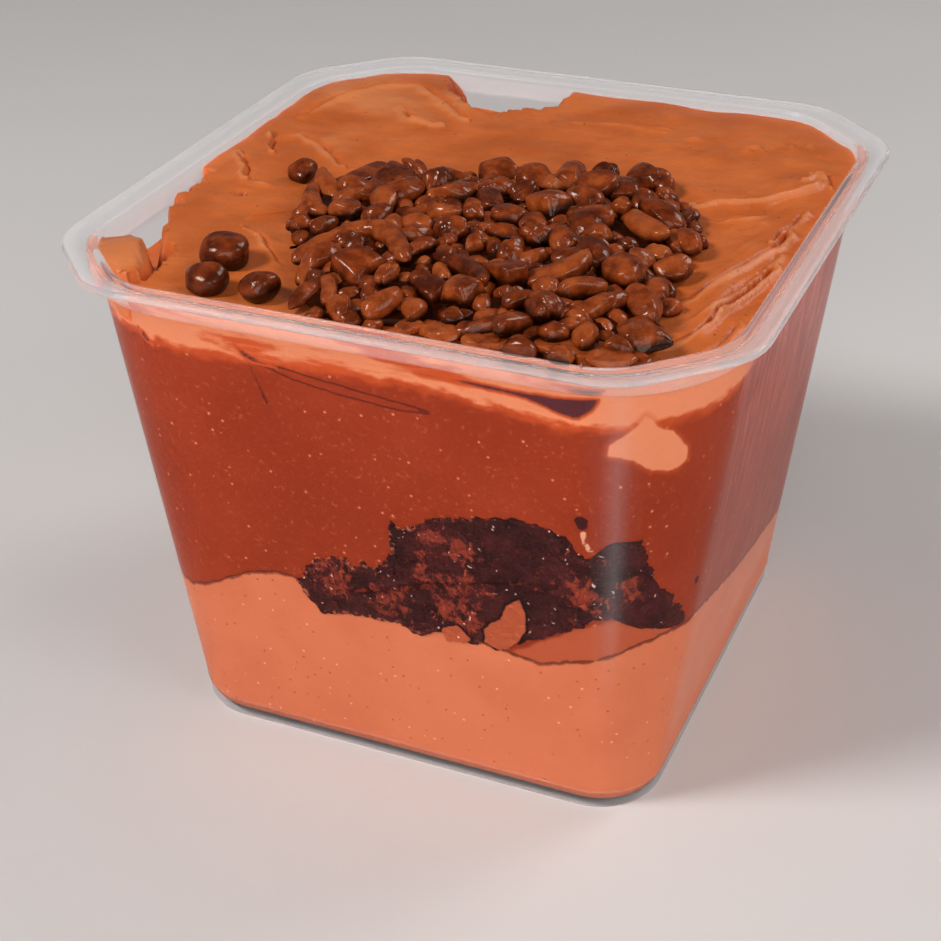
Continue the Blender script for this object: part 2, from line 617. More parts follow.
def addLayer(name, bottom, rows, top, marks, finish, slot, node, crisp, relief=None):
    # the marks of the wall rows are carried on over the rings below and above them and the two end points
    points, faces = loft([*bottom, *rows, *top])
    for mark, values in marks.items():
        far = values.max() if mark == "edge" else values.min()
        counts = len(bottom) * ringCount, len(points) - (len(bottom) + len(rows)) * ringCount
        marks[mark] = np.concatenate([np.full(counts[0], far), values.ravel(), np.full(counts[1], far)])
    if relief:
        marks["relief"] = relief(points[:, 0], points[:, 1])
    return addPiece(name, points, faces, finish, slot, node, marks=marks, crisp=crisp)


def makeLightMousse():
    foot = [wallPoints(np.full(ringCount, floorTop + rise))[0] for rise in fillingSetup["footRows"]]
    heights, rows = wallRows(np.full(ringCount, floorTop + 2), lightEdge, fillingSetup["lightRows"])[:2]
    top, marks, finish = lid(rows[-1], lightTop), {"edge": lightEdge - heights}, makeLightFinish()
    addLayer("lightMousse", foot, rows, top, marks, finish, "light_mousse", "mousse_light", 50)


def makeDarkMousse():
    heights, rows, along = wallRows(lightEdge, darkEdge, fillingSetup["darkRows"])
    bottom, top = lid(rows[0], lightTop)[::-1], lid(rows[-1], darkTop)
    marks, finish = marksAt(rows, along, heights - lightEdge), makeWallFinish("darkMousse")
    addLayer("darkMousse", bottom, rows, top, marks, finish, "dark_mousse", "mousse_dark", 50)


heapShape = {
    "middle": (6, -17), "round": 30.8,
    # waves in the outline: times round, size, degrees
    "waves": [(1, 2.4, 36), (2, 1.8, 56), (3, 2, -178), (4, 2.9, 133), (5, 1.8, -134), (6, 0.8, -81)],
    "rise": 2.6, "lift": 0.3,
}


def insideHeap(x, y):
    # how far a spot lies inside the heap's outline, below zero outside
    dx, dy = x - heapShape["middle"][0], y - heapShape["middle"][1]
    angle = np.arctan2(dy, dx)
    reach = heapShape["round"]
    for times, size, turn in heapShape["waves"]:
        reach = reach + size * np.cos(times * angle + math.radians(turn))
    return reach - np.hypot(dx, dy)


spreadShape = {
    # grooves of the spatula with the ridge that each throws up beside it: points, depth, width
    "strokes": [
        ([(29, 9.6), (33.9, 10.9), (37.1, 13.1), (39.9, 16.7), (42.7, 20.4)], 0.9, 0.75),
        ([(30, 4.6), (34, 4.4), (37.2, 5.8), (38.9, 7.4)], 0.35, 0.5),
        ([(34.5, -24.6), (37.2, -21.3), (39.2, -14.3), (41.5, -7.8), (43.4, -3.1), (44.2, 1.8)], 0.65, 0.7),
        ([(42.6, -1), (43.2, 4.5), (44.4, 10.2)], 0.45, 0.5),
        ([(38.6, -35.4), (41.1, -29.7), (42.4, -23.7), (43.8, -18.3), (45.3, -10.2)], 0.7, 0.6),
        ([(37.5, -30), (40.2, -24), (42, -18.4), (43.6, -12), (45, -6)], 0.35, 0.5),
        ([(43.4, -38), (44.7, -32.8), (45.3, -27.4)], 0.35, 0.5),
        ([(29.7, 32.2), (32.7, 32.9), (34.7, 35.4), (37.8, 36.3)], 0.4, 0.5),
        ([(41.2, 23), (42, 26.6), (44.2, 26), (45.6, 22)], 0.45, 0.6),
        ([(-43, 12), (-38.6, 13.6), (-33.2, 9.6), (-27, 4)], 0.4, 0.8),
        ([(-43.6, 22), (-41.6, 30), (-37.4, 38.6), (-30.8, 41.6), (-24, 36), (-17, 29)], 0.4, 0.9),
        ([(-28.4, 29.4), (-25.2, 26), (-20.2, 24.4)], 0.6, 0.6),
        ([(-42.9, 11.2), (-41.4, 7.6), (-39.7, 5.3)], 0.45, 0.6),
        ([(-43.6, 2), (-40.8, -1.6), (-38.4, -5.4)], 0.5, 0.8),
        ([(-30.5, -18), (-28, -15.4), (-25, -13.6)], 0.35, 0.6),
        ([(-29.3, -22.8), (-25.1, -24.5), (-22.3, -28.1), (-19, -31.3)], 0.4, 0.5),
        ([(1, 34), (8.3, 36), (14.7, 35.2)], 0.3, 0.5),
    ],
    # low bumps and hollows: middle, height, reach along x and y
    "bumps": [
        ((-30, 33), 0.7, 13, 11), ((-40.9, -37.2), 1.6, 4.2, 4.4), ((43.8, 25), 0.5, 1.6, 2),
        ((20.7, 33.4), 0.5, 1.6, 0.9), ((14.7, 36.2), 0.4, 1.8, 0.6), ((31, 33.2), 0.4, 1.6, 0.7),
        ((-36.4, -11.2), -1.3, 0.8, 0.8), ((-35.2, -7.6), 0.5, 2.2, 0.7), ((-33, 12), 0.4, 6, 8),
        ((41, 22), 0.4, 3, 4), ((-28, -22), 0.3, 5, 3), ((42.6, -25.4), 0.5, 0.8, 1.4),
        ((41, -19), 0.45, 1.3, 6), ((38, 5.6), 0.35, 4, 1.6),
    ],
    "middle": (0, -8),  # where the surface's rings close
    "blob": (-40.9, -37.4),  # a blob of mousse in the left corner
    # places where the mousse stands off the wall: outline from above, how deep
    "pockets": [
        ([(-34.6, -49), (-34, -41.4), (-34.6, -36.3), (-35.8, -31.8), (-38.4, -30.2), (-41, -26.7),
          (-41.4, -23.9), (-44, -20), (-43, -17), (-45.8, -14.6), (-43.6, -12.6), (-46.2, -11),
          (-43.4, -9.4), (-45.4, -7.6), (-44.6, -5.4), (-49, -4), (-49, -33), (-45.4, -32.4),
          (-43.4, -30.8), (-40, -32.6), (-36.9, -36.8), (-35.5, -41.6), (-36.6, -42.9), (-38.6, -43.6),
          (-38, -49)], 6),
        ([(-28, 49), (-26.7, 43.2), (-22.9, 39), (-17.9, 34), (-13.6, 32.2), (-12.2, 35.6), (-7.8, 38.2),
          (-5.4, 41), (-5, 49)], 5),
    ],
}


def acrossLine(x, y, points):
    # distance from a run of points, below zero on its left
    nearest, side = np.full(np.shape(x), np.inf), np.zeros(np.shape(x))
    for (ax, ay), (bx, by) in zip(points, points[1:]):
        offset = fromSegment(x, y, ax, ay, bx, by)
        side = np.where(offset < nearest, np.sign((x - ax) * (by - ay) - (y - ay) * (bx - ax)), side)
        nearest = np.minimum(nearest, offset)
    return nearest * side


def spreadRelief(x, y):
    # what the spatula left, in millimetres above or below a flat top
    quick = flatGrain(x, y, 4)
    relief = 0.4 * flatGrain(x, y, 12, 2) + 0.1 * quick
    rightPart = ease(x, 27, 36) * ease(-y, -24, -12)  # combed by the spatula from front to back
    combed = flatGrain((x * 0.93 - y * 0.36) / 1.5, (x * 0.36 + y * 0.93) / 16, octaves=2)
    relief += 0.2 * rightPart * combed
    relief += 0.1 * (1 - rightPart) * ease(y, 8, 20) * flatGrain(x / 12, y / 2.6, octaves=2)
    for line, depth, width in spreadShape["strokes"]:
        offset = acrossLine(x + 0.4 * quick, y + 0.4 * quick, line)
        relief += 1.3 * depth * (0.9 * hump(offset - 1.5 * width, width) - hump(offset, width * 0.6))
    for (bx, by), height, reachX, reachY in spreadShape["bumps"]:
        relief += height * np.exp(-((x - bx) / reachX) ** 2 - ((y - by) / reachY) ** 2)
    return relief


def spreadHeight(x, y):
    height = np.minimum(fillingSetup["topLevel"] - 0.15 + spreadRelief(x, y), cupTop - 0.35)
    clearOfHeap = ease(-insideHeap(x, y), 1.0, 5.0)
    height = mix(fillingSetup["bedLevel"], height, clearOfHeap)
    fingers = flatGrain(x / 2.2, y / 1.2)
    blobX, blobY = spreadShape["blob"]
    nearBlob = hump(np.hypot(x - blobX, y - blobY), 5.5)  # its sides are softer
    for outline, depth in spreadShape["pockets"]:
        inside = markDistance(x, y, outline) + mix(0.8, 0.1, nearBlob) * fingers
        height -= depth * ease(inside, mix(-0.35, -1.1, nearBlob), mix(0.9, 1.3, nearBlob))
    return height


def makeTopMousse():
    ring = wallPoints(np.full(ringCount, fillingSetup["topLevel"]))[0]
    heights, rows, along = wallRows(darkEdge, spreadHeight(ring[:, 0], ring[:, 1]), fillingSetup["topRows"])
    bottom = lid(rows[0], darkTop)[::-1]
    shares = [*(1 - 0.62 * (np.arange(1, 101) / 100)), 0.3, 0.2, 0.1, 0.03]
    top = lid(rows[-1], spreadHeight, shares, spreadShape["middle"])
    marks, finish = marksAt(rows, along, np.full(heights.shape, 9.0)), makeTopFinish()
    names = "spread_mousse", "mousse_top"
    spread = addLayer("spreadMousse", bottom, rows, top, marks, finish, *names, 60, spreadRelief)
    spread.data.materials.append(makeWallFinish("spreadAtWall"))
    for face in spread.data.polygons[len(bottom) * ringCount:(len(bottom) + len(rows) - 1) * ringCount]:
        face.material_index = 1


makeLightMousse()
makeDarkMousse()
makeTopMousse()

brownieShape = {
    # outline on the front wall, across and up
    "outline": [(-14.1, 32.4), (-12.8, 35), (-11, 37.6), (-9.3, 37.8), (-7.9, 39.1), (-5.5, 39.5),
                (-4.9, 37.6), (-2.9, 39), (-1.8, 38.3), (1.2, 40.4), (2.3, 43.7), (2, 45.4), (2.4, 48.1),
                (3.3, 47.4), (4.5, 47.1), (7, 48.6), (8.7, 50), (12.7, 51), (20.9, 53.2), (24.6, 52.9),
                (28.6, 52), (29.6, 49.6), (31, 48.3), (33, 49.5), (34, 51.3), (36.2, 51.5), (37.9, 51.6),
                (38.4, 48.2), (38.9, 44.2), (40.6, 40), (41.6, 36), (41.4, 33.2), (39.8, 34.3),
                (37.1, 36.2), (34.7, 38), (32, 37.5), (29.9, 36.2), (26, 33.7), (21.5, 31), (18.6, 28.7),
                (16.8, 28.4), (15.6, 29.4), (13, 28.2), (9.4, 27.7), (8.3, 29.4), (5.6, 27.4), (3.6, 27.8),
                (2, 28.8), (-1, 28.4), (-3, 28.6), (-6.4, 28.2), (-8.8, 27.6), (-10.8, 27), (-12.6, 29)],
    "pointsRound": 620, "capRings": 30, "reach": 0.36,
    # the line that the front's and the back's rings close on
    "spine": [(-10, 31.8), (-2, 33.2), (4, 37.4), (12, 39.8), (20, 42), (27, 43.5)],
    # where mousse shows through
    "pale": [[(19.1, 37.2), (21.2, 38.7), (22, 36.1), (21.6, 33), (19.8, 29.5), (18.2, 28), (15.4, 29.2),
              (15.4, 31.7), (18.2, 34.5)], [(8.5, 29.9), (11.1, 31.1), (13.4, 29), (10.8, 27), (9.1, 27)]],
    # where the crumb is rusty
    "rust": [[(6.5, 47.1), (11.6, 47), (16.1, 44.9), (14.5, 43.8), (9.1, 44.9), (6.9, 38.6), (5.6, 38.2)],
             [(28, 44.9), (30.9, 45.1), (33.5, 41.5), (32.4, 39.1), (29.3, 41)],
             [(35.5, 45.2), (37.3, 44.8), (37.5, 40.5), (36, 40.8)],
             [(5.8, 39.7), (14.3, 41.1), (15.7, 38.6), (8.3, 36)],
             [(-9.4, 37), (-5.8, 39.3), (-7, 33.2), (-9.1, 33.1)],
             [(-1.4, 34.3), (3.2, 34.6), (3.3, 31.1), (-1, 30.4)],
             [(8.5, 34.6), (14, 37.2), (15.2, 32.1), (13.1, 30.5), (9.5, 31.9)]],
    "narrowing": 0.85, "rightEnd": 41.4, "skin": (0.7, 0.7, 0.4, 0.16),
}
brownieColours = {
    "deep": (44, 12, 12), "plum": (70, 24, 23), "rust": (134, 50, 34), "ember": (164, 66, 40),
    "pale": (196, 104, 76), "glint": (240, 200, 184), "crack": (26, 6, 6), "mousse": mousseColours["medium"],
}


def makeBrownieFinish():
    p = Paint("brownieCrumb", brownieColours, "deep")
    sway = p.put("ShaderNodeTexNoise", {"Vector": p.spot, "Scale": 0.5, "Detail": 3}).outputs["Color"]
    sway = p.put("ShaderNodeVectorMath", {0: p.spot, 1: p.scaled(sway, 2.4)}, operation="ADD").outputs[0]
    chunkSize = 1 / 0.42
    toneOfChunk = p.toneOf(p.cells(chunkSize, sway))
    cracks = p.cells(chunkSize, sway, feature="DISTANCE_TO_EDGE").outputs["Distance"]
    veins = p.noise(2.0, 6, rough=0.72)
    p.lay("plum", p.step(p.plus(p.noise(6), p.times(toneOfChunk, 0.2)), 0.4, 0.8))
    # rusty crumb, most of it at the left and in the marked places
    across = p.axis(0)
    rusty = p.step(p.plus(p.mark("rust"), p.times(p.step(across, 6, -8), 1.2)), -2.2, 0.6)
    rusty = p.plus(rusty, p.times(toneOfChunk, 0.35))
    p.lay("rust", p.step(p.plus(veins, p.times(rusty, 0.16)), 0.65, 0.73))
    fibres = p.noise(1.5, 5, (1.6, 1.6, 0.5), 0.66, sway)
    p.lay("ember", p.step(p.plus(fibres, p.times(rusty, 0.07)), 0.64, 0.7), 0.8)
    # pale strands along the left edge, dark cracks, and mousse that shows through
    atEdge = p.times(p.step(p.plus(p.mark("rim"), p.noise(1.3, 4)), 1.3, 0.7), p.step(across, 20, 6))
    strands = p.step(p.noise(0.9, 4, rough=0.7), 0.52, 0.6)
    p.lay("pale", p.times(atEdge, strands), 0.8)
    p.lay("crack", p.times(p.step(cracks, 0.07, 0.02), p.step(veins, 0.5, 0.62)), 0.7)
    shown = p.plus(p.mark("pale"), p.times(p.noise(1.6, 4), 1.2))
    p.lay("crack", p.step(shown, 0.0, 0.35))
    p.lay("mousse", p.step(shown, 0.45, 0.75))
    p.lay("glint", p.times(p.specks(1.15, 0.2, sway), p.step(p.noise(5), 0.44, 0.5)), 0.9)
    return p.cover(p.plus(veins, p.times(cracks, 1.2)), *brownieShape["skin"])


def frontWall(x, z, outset):
    # y of the cup's inside on its front, for a spot across and up
    half, bend = (np.interp(z, wallHeights, sizes) + outset for sizes in (wallHalves, wallBends))
    over = np.clip(np.abs(x) - (half - bend), 0, bend * 0.999)
    return -(half - bend) - np.sqrt(bend ** 2 - over ** 2)


def brownieOutline():
    corners = np.array(brownieShape["outline"], float)
    lengths = np.hypot(*(np.roll(corners, -1, 0) - corners).T)
    travelled = np.concatenate([[0], np.cumsum(lengths)])
    stations = np.linspace(0, travelled[-1], brownieShape["pointsRound"], endpoint=False)
    closed = np.vstack([corners, corners[:1]])
    x, z = (np.interp(stations, travelled, closed[:, axis]) for axis in (0, 1))
    out = np.stack([np.roll(z, 3) - np.roll(z, -3), np.roll(x, -3) - np.roll(x, 3)], -1)
    out /= np.linalg.norm(out, axis=1)[:, None]
    flat = np.stack([x, 0 * x, z], -1)
    push = 0.45 * grain(flat, 1.6, 4) + 0.25 * grain(flat, 0.6)
    return x + out[:, 0] * push, z + out[:, 1] * push


def makeBrownie():
    s = brownieShape
    x, z = brownieOutline()
    x = np.minimum(x, s["rightEnd"])
    spine = np.array(s["spine"]).T
    spineX = np.clip(x, spine[0][0], spine[0][-1])
    spineZ = np.interp(spineX, *spine)
    front, back = [], []
    for share in np.linspace(0.02, 1, s["capRings"]):
        capX, capZ = mix(spineX, x, share), mix(spineZ, z, share)
        flat = np.stack([capX, 0 * capX, capZ], -1)
        pits = np.clip(0.2 * grain(flat, 2.4, 4), 0, 0.12) * ease(share, 0.02, 0.1) * (1 - share ** 6)
        front.append(np.column_stack([capX, frontWall(capX, capZ, s["reach"] - pits), capZ]))
        backX = capX * s["narrowing"]
        back.append(np.column_stack([backX, -frontWall(backX, capZ, s["reach"]), capZ]))
    body = []
    for share in np.linspace(0, 1, 14)[1:-1]:
        slab = mix(front[-1], back[-1], share)
        wave = grain(slab, 7, 3) * math.sin(math.pi * share)
        body.append(slab + np.column_stack([wave, 0 * wave, wave]))
    points, faces = loft([*front, *body, *back[::-1]])
    x, y, z = points.T
    marks = {"rim": np.where(y < 0, markDistance(x, z, s["outline"]), 9)}
    for name in ("pale", "rust"):
        marks[name] = np.where(y < 0, insideAny(x, z, s[name]), -9)
    addPiece("brownieCrumb", points, faces, makeBrownieFinish(), "brownie", "brownie", marks=marks, crisp=60)


makeBrownie()


# the heap's pieces are melted lumps that touch and lie over each other
pieceSetup = {
    # small pieces in staggered rows wherever the others leave room
    "span": 78, "spacing": 4.7, "jitter": 1.4, "room": 0.6, "seed": 21, "shapeSeed": 7,
    "length": 4.4, "width": 3.5, "height": 3.1, "tallest": 4.1, "seat": 0.28,
    "crumbSpacing": 2.7, "crumbLength": 3.4, "crumbRoom": -0.2, "crumbSeat": -0.1,  # bits in the last gaps
    "largeDetail": 5, "smallDetail": 4, "crumbDetail": 3,
}
# the pieces that can be told apart: middle, length, width and turn in degrees; height as a share of width;
# squareness (2 is round); how deep the wrinkles go; how much of a rounded facet is pressed in
pieceKinds = {
    "lump": {
        "tall": 0.8, "square": 2.3, "wrinkle": 0.1, "facet": 0.6,
        "rows": [
            (9.5, 6, 7, 5, -80), (20.5, 12, 10, 6, -35), (-30.5, -3, 4.5, 4.5, -5),
            (-13, 1, 7.5, 3.5, -50), (-6.5, -1, 7.5, 4.5, 0), (15.5, 1, 6.5, 6.5, -25),
            (27, -3.5, 9, 5.5, -40), (30, 1, 7.5, 3, -80), (-23.5, -8, 9.5, 3.5, -50),
            (-10, -9.5, 6.5, 5, 55), (32.5, -8.5, 6, 5.5, -35), (-24, -12.5, 9, 3, -60),
            (-15, -18.5, 5, 4.5, 10), (2, -20, 5.5, 4.5, -5), (29, -17.5, 5, 3.5, 40),
            (33.5, -17, 5.5, 4.5, 45), (-21, -21.5, 4.5, 3.5, 45), (-6.5, -21, 5, 3.5, 90),
            (23, -20.5, 7.5, 4.5, -55), (28.5, -24, 7.5, 5.5, -35), (0, -36, 4.5, 3.5, 90),
            (34, -31, 7.5, 4.5, -40), (23, -38.5, 7, 5, -50), (-3, -44, 5.5, 3.5, -50),
        ],
    },
    "dome": {
        "tall": 0.62, "square": 3, "wrinkle": 0.04, "facet": 0.4,
        "rows": [(-1, 5, 6, 6, 45), (6, 2, 6, 6, 20), (19, -10.5, 8, 6, 80), (8, -12, 5.5, 5.5, -5),
                 (33.5, -24.5, 5, 3.5, -60)],
    },
    "block": {
        "tall": 0.7, "square": 8, "wrinkle": 0.04, "facet": 0.4,
        "rows": [
            (-19.5, -1.5, 10, 3.5, 75), (-15, -1, 4.5, 4.5, -75), (19, 3.5, 6.5, 4.5, -65),
            (-15.5, -4.5, 5, 3.5, -30), (-14.5, -11, 5.5, 3.5, -85), (-3, -7, 5.5, 4.5, 10),
            (3, -8, 6.5, 3.5, -60), (12, -7.5, 5.5, 5.5, 65), (16, -15.5, 5.5, 3.5, -60),
            (-5, -34.5, 7, 5, 65), (14.5, -30, 7, 4.5, -45), (6.5, -36.5, 5, 3.5, -35),
            (11, -36.5, 5, 5, -20), (35.5, -37.5, 8, 5, -55),
        ],
    },
    "rod": {
        "tall": 0.9, "square": 3.2, "wrinkle": 0.07, "facet": 0.3,
        "rows": [
            (26, -8, 11, 3.5, -40), (-3.5, -19, 5.5, 3, -10), (21.5, -28, 11, 3.5, 45),
            (-12.5, -35.5, 6.5, 2.5, 90), (9.5, -30.5, 12, 3, -35), (25.5, -31.5, 7, 3.5, 40),
            (29, -35, 6, 3, 65), (-6.5, -40.5, 7.5, 2.5, -60), (17, -42.5, 6.5, 2.5, 30),
        ],
    },
    "apart": {"tall": 0.8, "square": 2.3, "wrinkle": 0.14, "facet": 0.2, "rows": []},
    "leaf": {
        "tall": 0.5, "square": 2, "wrinkle": 0.06, "facet": 0.2,
        "rows": [(-5, -13.5, 5.5, 3, 70), (-9.5, -40, 10.5, 3, 75)],
    },
}
# flat melted flakes between the heap and the front wall: middle, length, width, turn
flakeSetup = {
    "height": 1.1, "square": 4,
    "rows": [(6.8, -44.3, 4, 3, 60), (10.8, -44, 7, 4, -20), (17.8, -45.3, 6, 3, 0),
             (20.5, -44.6, 7, 4.5, -15), (27.4, -44.2, 6, 5, 40), (33, -43.6, 9, 5.5, -20),
             (37.2, -42.3, 3.5, 2.5, 0)],
}
bentPiece = {
    # one long bent piece lies across the left of the heap
    "path": [(-16.2, -32.6), (-15.6, -30.2), (-13.5, -28), (-10.5, -25), (-7, -24), (-3.5, -26.5),
             (-1, -29.4), (0.8, -32.2)],
    "thickness": [2.0, 2.6, 2.9, 3.3, 3.4, 3.1, 2.7, 2.0], "lift": 1.1, "sides": 40, "steps": 110,
}
# lumps that lie apart: middle, length, width, height, turn
strayLumps = [(-25.6, -34.6, 7, 6.4, 4.8, 23), (-24, -42.6, 6.6, 5, 4.2, 11), (-16.2, -42, 5.6, 5.2, 4.4, 69)]


def drawsFrom(seed):
    # repeatable draws between 0 and 1
    state = seed
    while True:
        state = (state * 16807) % 2147483647
        yield state / 2147483647


def makeRow(kind, x, y, length, width, turn, height=None):
    style = pieceKinds[kind]
    height = height or min(style["tall"] * width, pieceSetup["tallest"])
    return {"kind": kind, "x": x, "y": y, "length": length, "width": width, "height": height, "turn": turn}


def hasRoom(x, y, placed, room):
    return all(math.hypot(p["x"] - x, p["y"] - y) >= (p["length"] + p["width"]) / 4 + room for p in placed)


def placePieces():
    # large pieces, small ones in staggered rows wherever there is room, and bits in the last gaps
    s = pieceSetup
    large = [makeRow(kind, *row) for kind, style in pieceKinds.items() for row in style["rows"]]
    placed = large + [makeRow("rod", x, y, 3.5, 3, 0) for x, y in bentPiece["path"]]
    middleX, middleY = heapShape["middle"]
    draws = drawsFrom(s["seed"])
    small, crumbs = [], []
    crumbScale = s["crumbLength"] / s["length"]
    for found, spacing, room, scale in ((small, s["spacing"], s["room"], 1),
                                        (crumbs, s["crumbSpacing"], s["crumbRoom"], crumbScale)):
        count = math.ceil(s["span"] / spacing)
        for spot in range(count ** 2):
            row, column = divmod(spot, count)
            shift = row % 2 * spacing / 2
            x = middleX - s["span"] / 2 + column * spacing + shift + s["jitter"] * scale * (next(draws) - 0.5)
            y = middleY - s["span"] / 2 + row * spacing + s["jitter"] * scale * (next(draws) - 0.5)
            size = mix(0.8, 1.25, next(draws)) * scale
            turn = 180 * next(draws)
            stretch = mix(0.9, 1.4, next(draws))
            if hasRoom(x, y, placed, room * scale) and insideHeap(x, y) >= 1:
                length = s["length"] * size * stretch
                piece = makeRow("lump", x, y, length, s["width"] * size, turn, s["height"] * size)
                placed.append(piece)
                found.append(piece)
    return large, small, crumbs


def ballMesh(detail):
    ball = bmesh.new()
    bmesh.ops.create_icosphere(ball, subdivisions=detail, radius=1)
    points = np.array([v.co for v in ball.verts])
    faces = [[v.index for v in face.verts] for face in ball.faces]
    ball.free()
    return points, faces


def someDirection(draws, lowest, highest):
    angle, tilt = 2 * math.pi * next(draws), mix(lowest, highest, next(draws))
    return np.array([math.cos(angle) * math.cos(tilt), math.sin(angle) * math.cos(tilt), math.sin(tilt)])


def squared(ball, power):
    return ball / (np.abs(ball) ** power).sum(1)[:, None] ** (1 / power)


def pressFacets(points, draws, count, strength):
    # soft flat places where a lump has lain against others
    for facet in range(count):
        towards = someDirection(draws, -0.3, 1.1)
        beyond = np.maximum(points @ towards - mix(0.62, 0.9, next(draws)), 0)
        points = points - np.outer(beyond * strength, towards)
    return points


def foldCreases(points, draws, count):
    # grooves where melted chocolate has run together
    for crease in range(count):
        offset = points @ someDirection(draws, -0.5, 0.5) - mix(-0.35, 0.35, next(draws))
        points = points * (1 - mix(0.08, 0.2, next(draws)) * hump(offset, 0.13))[:, None]
    return points


def shapePiece(ball, piece, z, draws):
    style = pieceKinds[piece["kind"]]
    points = pressFacets(squared(ball, style["square"]), draws, 6, style["facet"])
    points = foldCreases(points, draws, 2 if piece["kind"] == "lump" and next(draws) < 0.4 else 0)
    if piece["kind"] == "leaf":
        points[:, 1] *= 1 - 0.5 * points[:, 0] ** 2
    shift = np.array([next(draws), next(draws), next(draws)]) * 90
    wrinkle = style["wrinkle"]
    radial = 1 + wrinkle * grain(points + shift, 1.1, 1) + 0.2 * wrinkle * grain(points + shift, 0.4, 1)
    points = points * radial[:, None]
    points[:, 1] *= 1 - mix(-0.28, 0.28, next(draws)) * points[:, 0]  # one end thicker than the other
    length, width = piece["length"], piece["width"]
    points = points * np.array([length, width, piece["height"]]) / 2
    bend = mix(-0.07, 0.07, next(draws)) * min(1, max(0, length / width - 0.9))
    points[:, 1] += bend * points[:, 0] ** 2
    lean, roll = mix(-0.22, 0.22, next(draws)), mix(-0.35, 0.35, next(draws))
    return tipped(points, piece["turn"], lean, roll) + np.array([piece["x"], piece["y"], z])


def coreRise(x, y):
    return heapShape["rise"] * np.minimum(1, np.maximum(0, insideHeap(x, y)) / 12) ** 0.7


def addChocolate(name, points, faces, finish, tone, low, node="chocolate_heap"):
    marks = {"tone": tone, "low": low}
    addPiece(name, points, faces, finish, "glossy_chocolate", node, marks=marks)


def tipped(points, turn, lean, roll=0):
    tip = Matrix.Rotation(math.radians(turn), 3, "Z") @ Matrix.Rotation(lean, 3, "Y")
    return points @ np.array(tip @ Matrix.Rotation(roll, 3, "X")).T


def keepInCup(points):
    # nothing goes further into the wall than the filling does, or above the heap's highest point
    limit = cupShape["mouthHalf"] + fillingSetup["reach"]
    points[:, :2] = np.clip(points[:, :2], -limit, limit)
    corner = (np.abs(points[:, 0]) + np.abs(points[:, 1])) - (2 * limit - cupShape["mouthCut"])
    beyond = np.maximum(corner, 0)[:, None] / 2
    points[:, :2] -= np.sign(points[:, :2]) * beyond
    points[:, 2] = np.minimum(points[:, 2], highestChocolate - 0.02)
    return points


def addPieces(name, pieces, detail, seat, finish, draws):
    ball, ballFaces = ballMesh(detail)
    points, faces, tones = [], [], []
    for piece in pieces:
        base = fillingSetup["bedLevel"] + heapShape["lift"] + coreRise(piece["x"], piece["y"])
        z = base + piece["height"] * mix(seat - 0.12, seat + 0.08, next(draws))
        start = len(points) * len(ball)
        faces += [[start + v for v in face] for face in ballFaces]
        points.append(keepInCup(shapePiece(ball, piece, z, draws)))
        tones.append(np.full(len(ball), next(draws)))
    low = np.tile(ball[:, 2], len(pieces))
    addChocolate(name, np.vstack(points), faces, finish, np.concatenate(tones), low)


chocolateLook = {
    "colours": {"gap": (36, 8, 0), "deep": (72, 22, 4), "body": (140, 58, 20), "warm": (182, 90, 40),
                "bloom": (204, 116, 66)},
    "bump": (0.25, 0.5), "roughness": (0.1, 0.3), "highlight": (1, 0.8, 0.66, 1), "coatRoughness": 0.04,
    "pieces": (0.32, 0.14), "core": (0.08, 0),  # shine and coat
}


def makeChocolateFinish(name, shine, coat):
    look = chocolateLook
    p = Paint(name, look["colours"], "deep")
    cloud, film = p.noise(2.6, 4), p.noise(1.4, 5, rough=0.65)
    tone = p.plus(cloud, p.times(p.mark("tone"), 0.3))
    p.lay("body", p.step(tone, 0.35, 0.8))
    p.lay("warm", p.step(tone, 0.6, 1.0), 0.8)
    p.lay("bloom", p.step(film, 0.55, 0.8), 0.4)
    p.lay("gap", p.step(p.plus(p.mark("low"), p.times(cloud, 0.3)), 0.42, -0.25))
    coating = {"Coat Weight": coat, "Coat Roughness": look["coatRoughness"]}
    coating["Specular Tint"] = look["highlight"]
    rough = p.ramp(film, 0, 1, *look["roughness"])
    return p.cover(p.plus(p.noise(1.1), cloud), *look["bump"], rough, shine, coating)


def makeHeapCore(finish):
    # melted chocolate that runs together under and between the pieces
    angles = np.linspace(0, 2 * math.pi, 260, endpoint=False)
    middleX, middleY = heapShape["middle"]
    direction = np.stack([np.cos(angles), np.sin(angles)], -1)
    reach = insideHeap(middleX + direction[:, 0] * 0.001, middleY + direction[:, 1] * 0.001)
    rings = []
    bed = fillingSetup["bedLevel"]
    upper = [(0.93 - 0.88 * ring / 44, None) for ring in range(45)]
    for share, fixed in [(0.3, bed - 0.8), (0.9, bed - 0.8), *upper]:
        flat = np.array([middleX, middleY]) + direction * (reach * share)[:, None]
        flat = np.clip(flat, -cupShape["mouthHalf"] - 0.1, cupShape["mouthHalf"] + 0.1)
        x, y = flat.T
        rise = coreRise(x, y) * (0.95 + 0.3 * flatGrain(x, y, 3)) + 0.45
        z = np.full(len(x), fixed) if fixed else bed + rise
        rings.append(np.column_stack([flat, z]))
    addChocolate("heapCore", *loft(rings), finish, 0.2, -0.3)


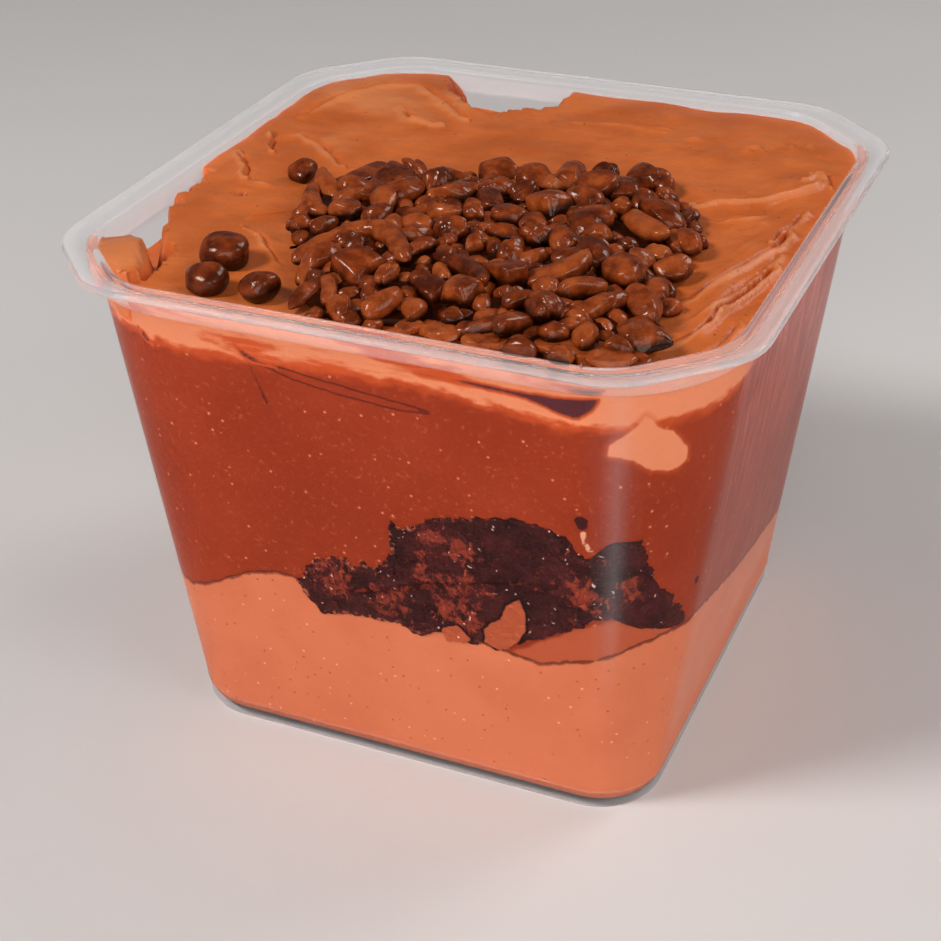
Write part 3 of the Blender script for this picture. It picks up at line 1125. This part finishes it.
def makeBentPiece(finish):
    b = bentPiece
    stations = np.linspace(0, len(b["path"]) - 1, b["steps"])
    path = np.array(b["path"], float)
    smooth = np.stack([np.interp(stations, range(len(path)), path[:, axis]) for axis in (0, 1)], -1)
    for again in range(12):
        smooth[1:-1] = (smooth[:-2] + 2 * smooth[1:-1] + smooth[2:]) / 4
    radius = np.interp(stations, range(len(path)), b["thickness"]) / 2
    ends = np.minimum(stations, stations[-1] - stations)
    radius = radius * np.sqrt(1 - (1 - np.clip(ends / 0.6, 0.03, 1)) ** 2)
    run = np.gradient(smooth, axis=0)
    run /= np.linalg.norm(run, axis=1)[:, None]
    angles = np.linspace(0, 2 * math.pi, b["sides"], endpoint=False)
    rings = []
    for (x, y), (runX, runY), size in zip(smooth, run, radius):
        level = fillingSetup["bedLevel"] + heapShape["lift"] + coreRise(x, y) + b["lift"]
        ring = np.stack([x - runY * np.cos(angles) * size, y + runX * np.cos(angles) * size,
                         level + np.sin(angles) * size], -1)
        lumps = 1 + 0.12 * grain(ring, 1.7, 3) + 0.04 * grain(ring, 0.6, 2)
        rings.append(mix(np.array([x, y, level]), ring, lumps[:, None]))
    low = np.append(np.tile(np.sin(angles), len(rings)), [0.5, 0.5])
    addChocolate("bentChocolate", *loft(rings[::-1]), finish, 0.7, low)


def makeFlakes(finish, draws):
    ball, ballFaces = ballMesh(pieceSetup["smallDetail"])
    f = flakeSetup
    points, faces = [], []
    for x, y, length, width, turn in f["rows"]:
        flat = squared(ball, f["square"]) * np.array([1, 1, 0.2])
        flat = pressFacets(flat, draws, 5, 0.9) * np.array([1, 1, 5])
        shaped = flat * np.array([length, width, f["height"]]) / 2
        level = np.column_stack([flat[:, :2], 0 * flat[:, 0]])
        shaped[:, 2] += 0.25 * grain(level + next(draws) * 50, 0.7, 2)
        base = fillingSetup["bedLevel"] + 1.0 + coreRise(x, y) * 0.6
        faces += [[len(points) * len(ball) + v for v in face] for face in ballFaces]
        points.append(keepInCup(tipped(shaped, turn, mix(-0.1, 0.1, next(draws))) + np.array([x, y, base])))
    addChocolate("flatChocolate", np.vstack(points), faces, finish, 0.9, 0.6)


def makeHeap():
    finish = makeChocolateFinish("glossyChocolate", *chocolateLook["pieces"])
    makeHeapCore(makeChocolateFinish("meltedChocolate", *chocolateLook["core"]))
    makeBentPiece(finish)
    large, small, crumbs = placePieces()
    draws = drawsFrom(pieceSetup["shapeSeed"])
    groups = {
        "roundedChocolate": ([p for p in large if p["kind"] in ("lump", "dome")], "largeDetail", "seat"),
        "squareChocolate": ([p for p in large if p["kind"] not in ("lump", "dome")], "largeDetail", "seat"),
        "smallChocolate": (small, "smallDetail", "seat"),
        "chocolateBits": (crumbs, "crumbDetail", "crumbSeat"),
    }
    for name, (pieces, detail, seat) in groups.items():
        addPieces(name, pieces, pieceSetup[detail], pieceSetup[seat], finish, draws)
    makeFlakes(finish, draws)
    ball, faces = ballMesh(pieceSetup["largeDetail"])
    for index, (x, y, length, width, height, turn) in enumerate(strayLumps):
        level = float(spreadHeight(np.array([x]), np.array([y]))[0])
        lump = makeRow("apart", x, y, length, width, turn, height)
        points = shapePiece(ball, lump, level + 0.3 + height * 0.32, draws)
        name, node = f"chocolateLump{index + 1}", f"chocolate_lump_{index + 1}"
        addChocolate(name, points, faces, finish, 0.1, ball[:, 2] - 0.15, node)


makeHeap()

print("all pieces are made")
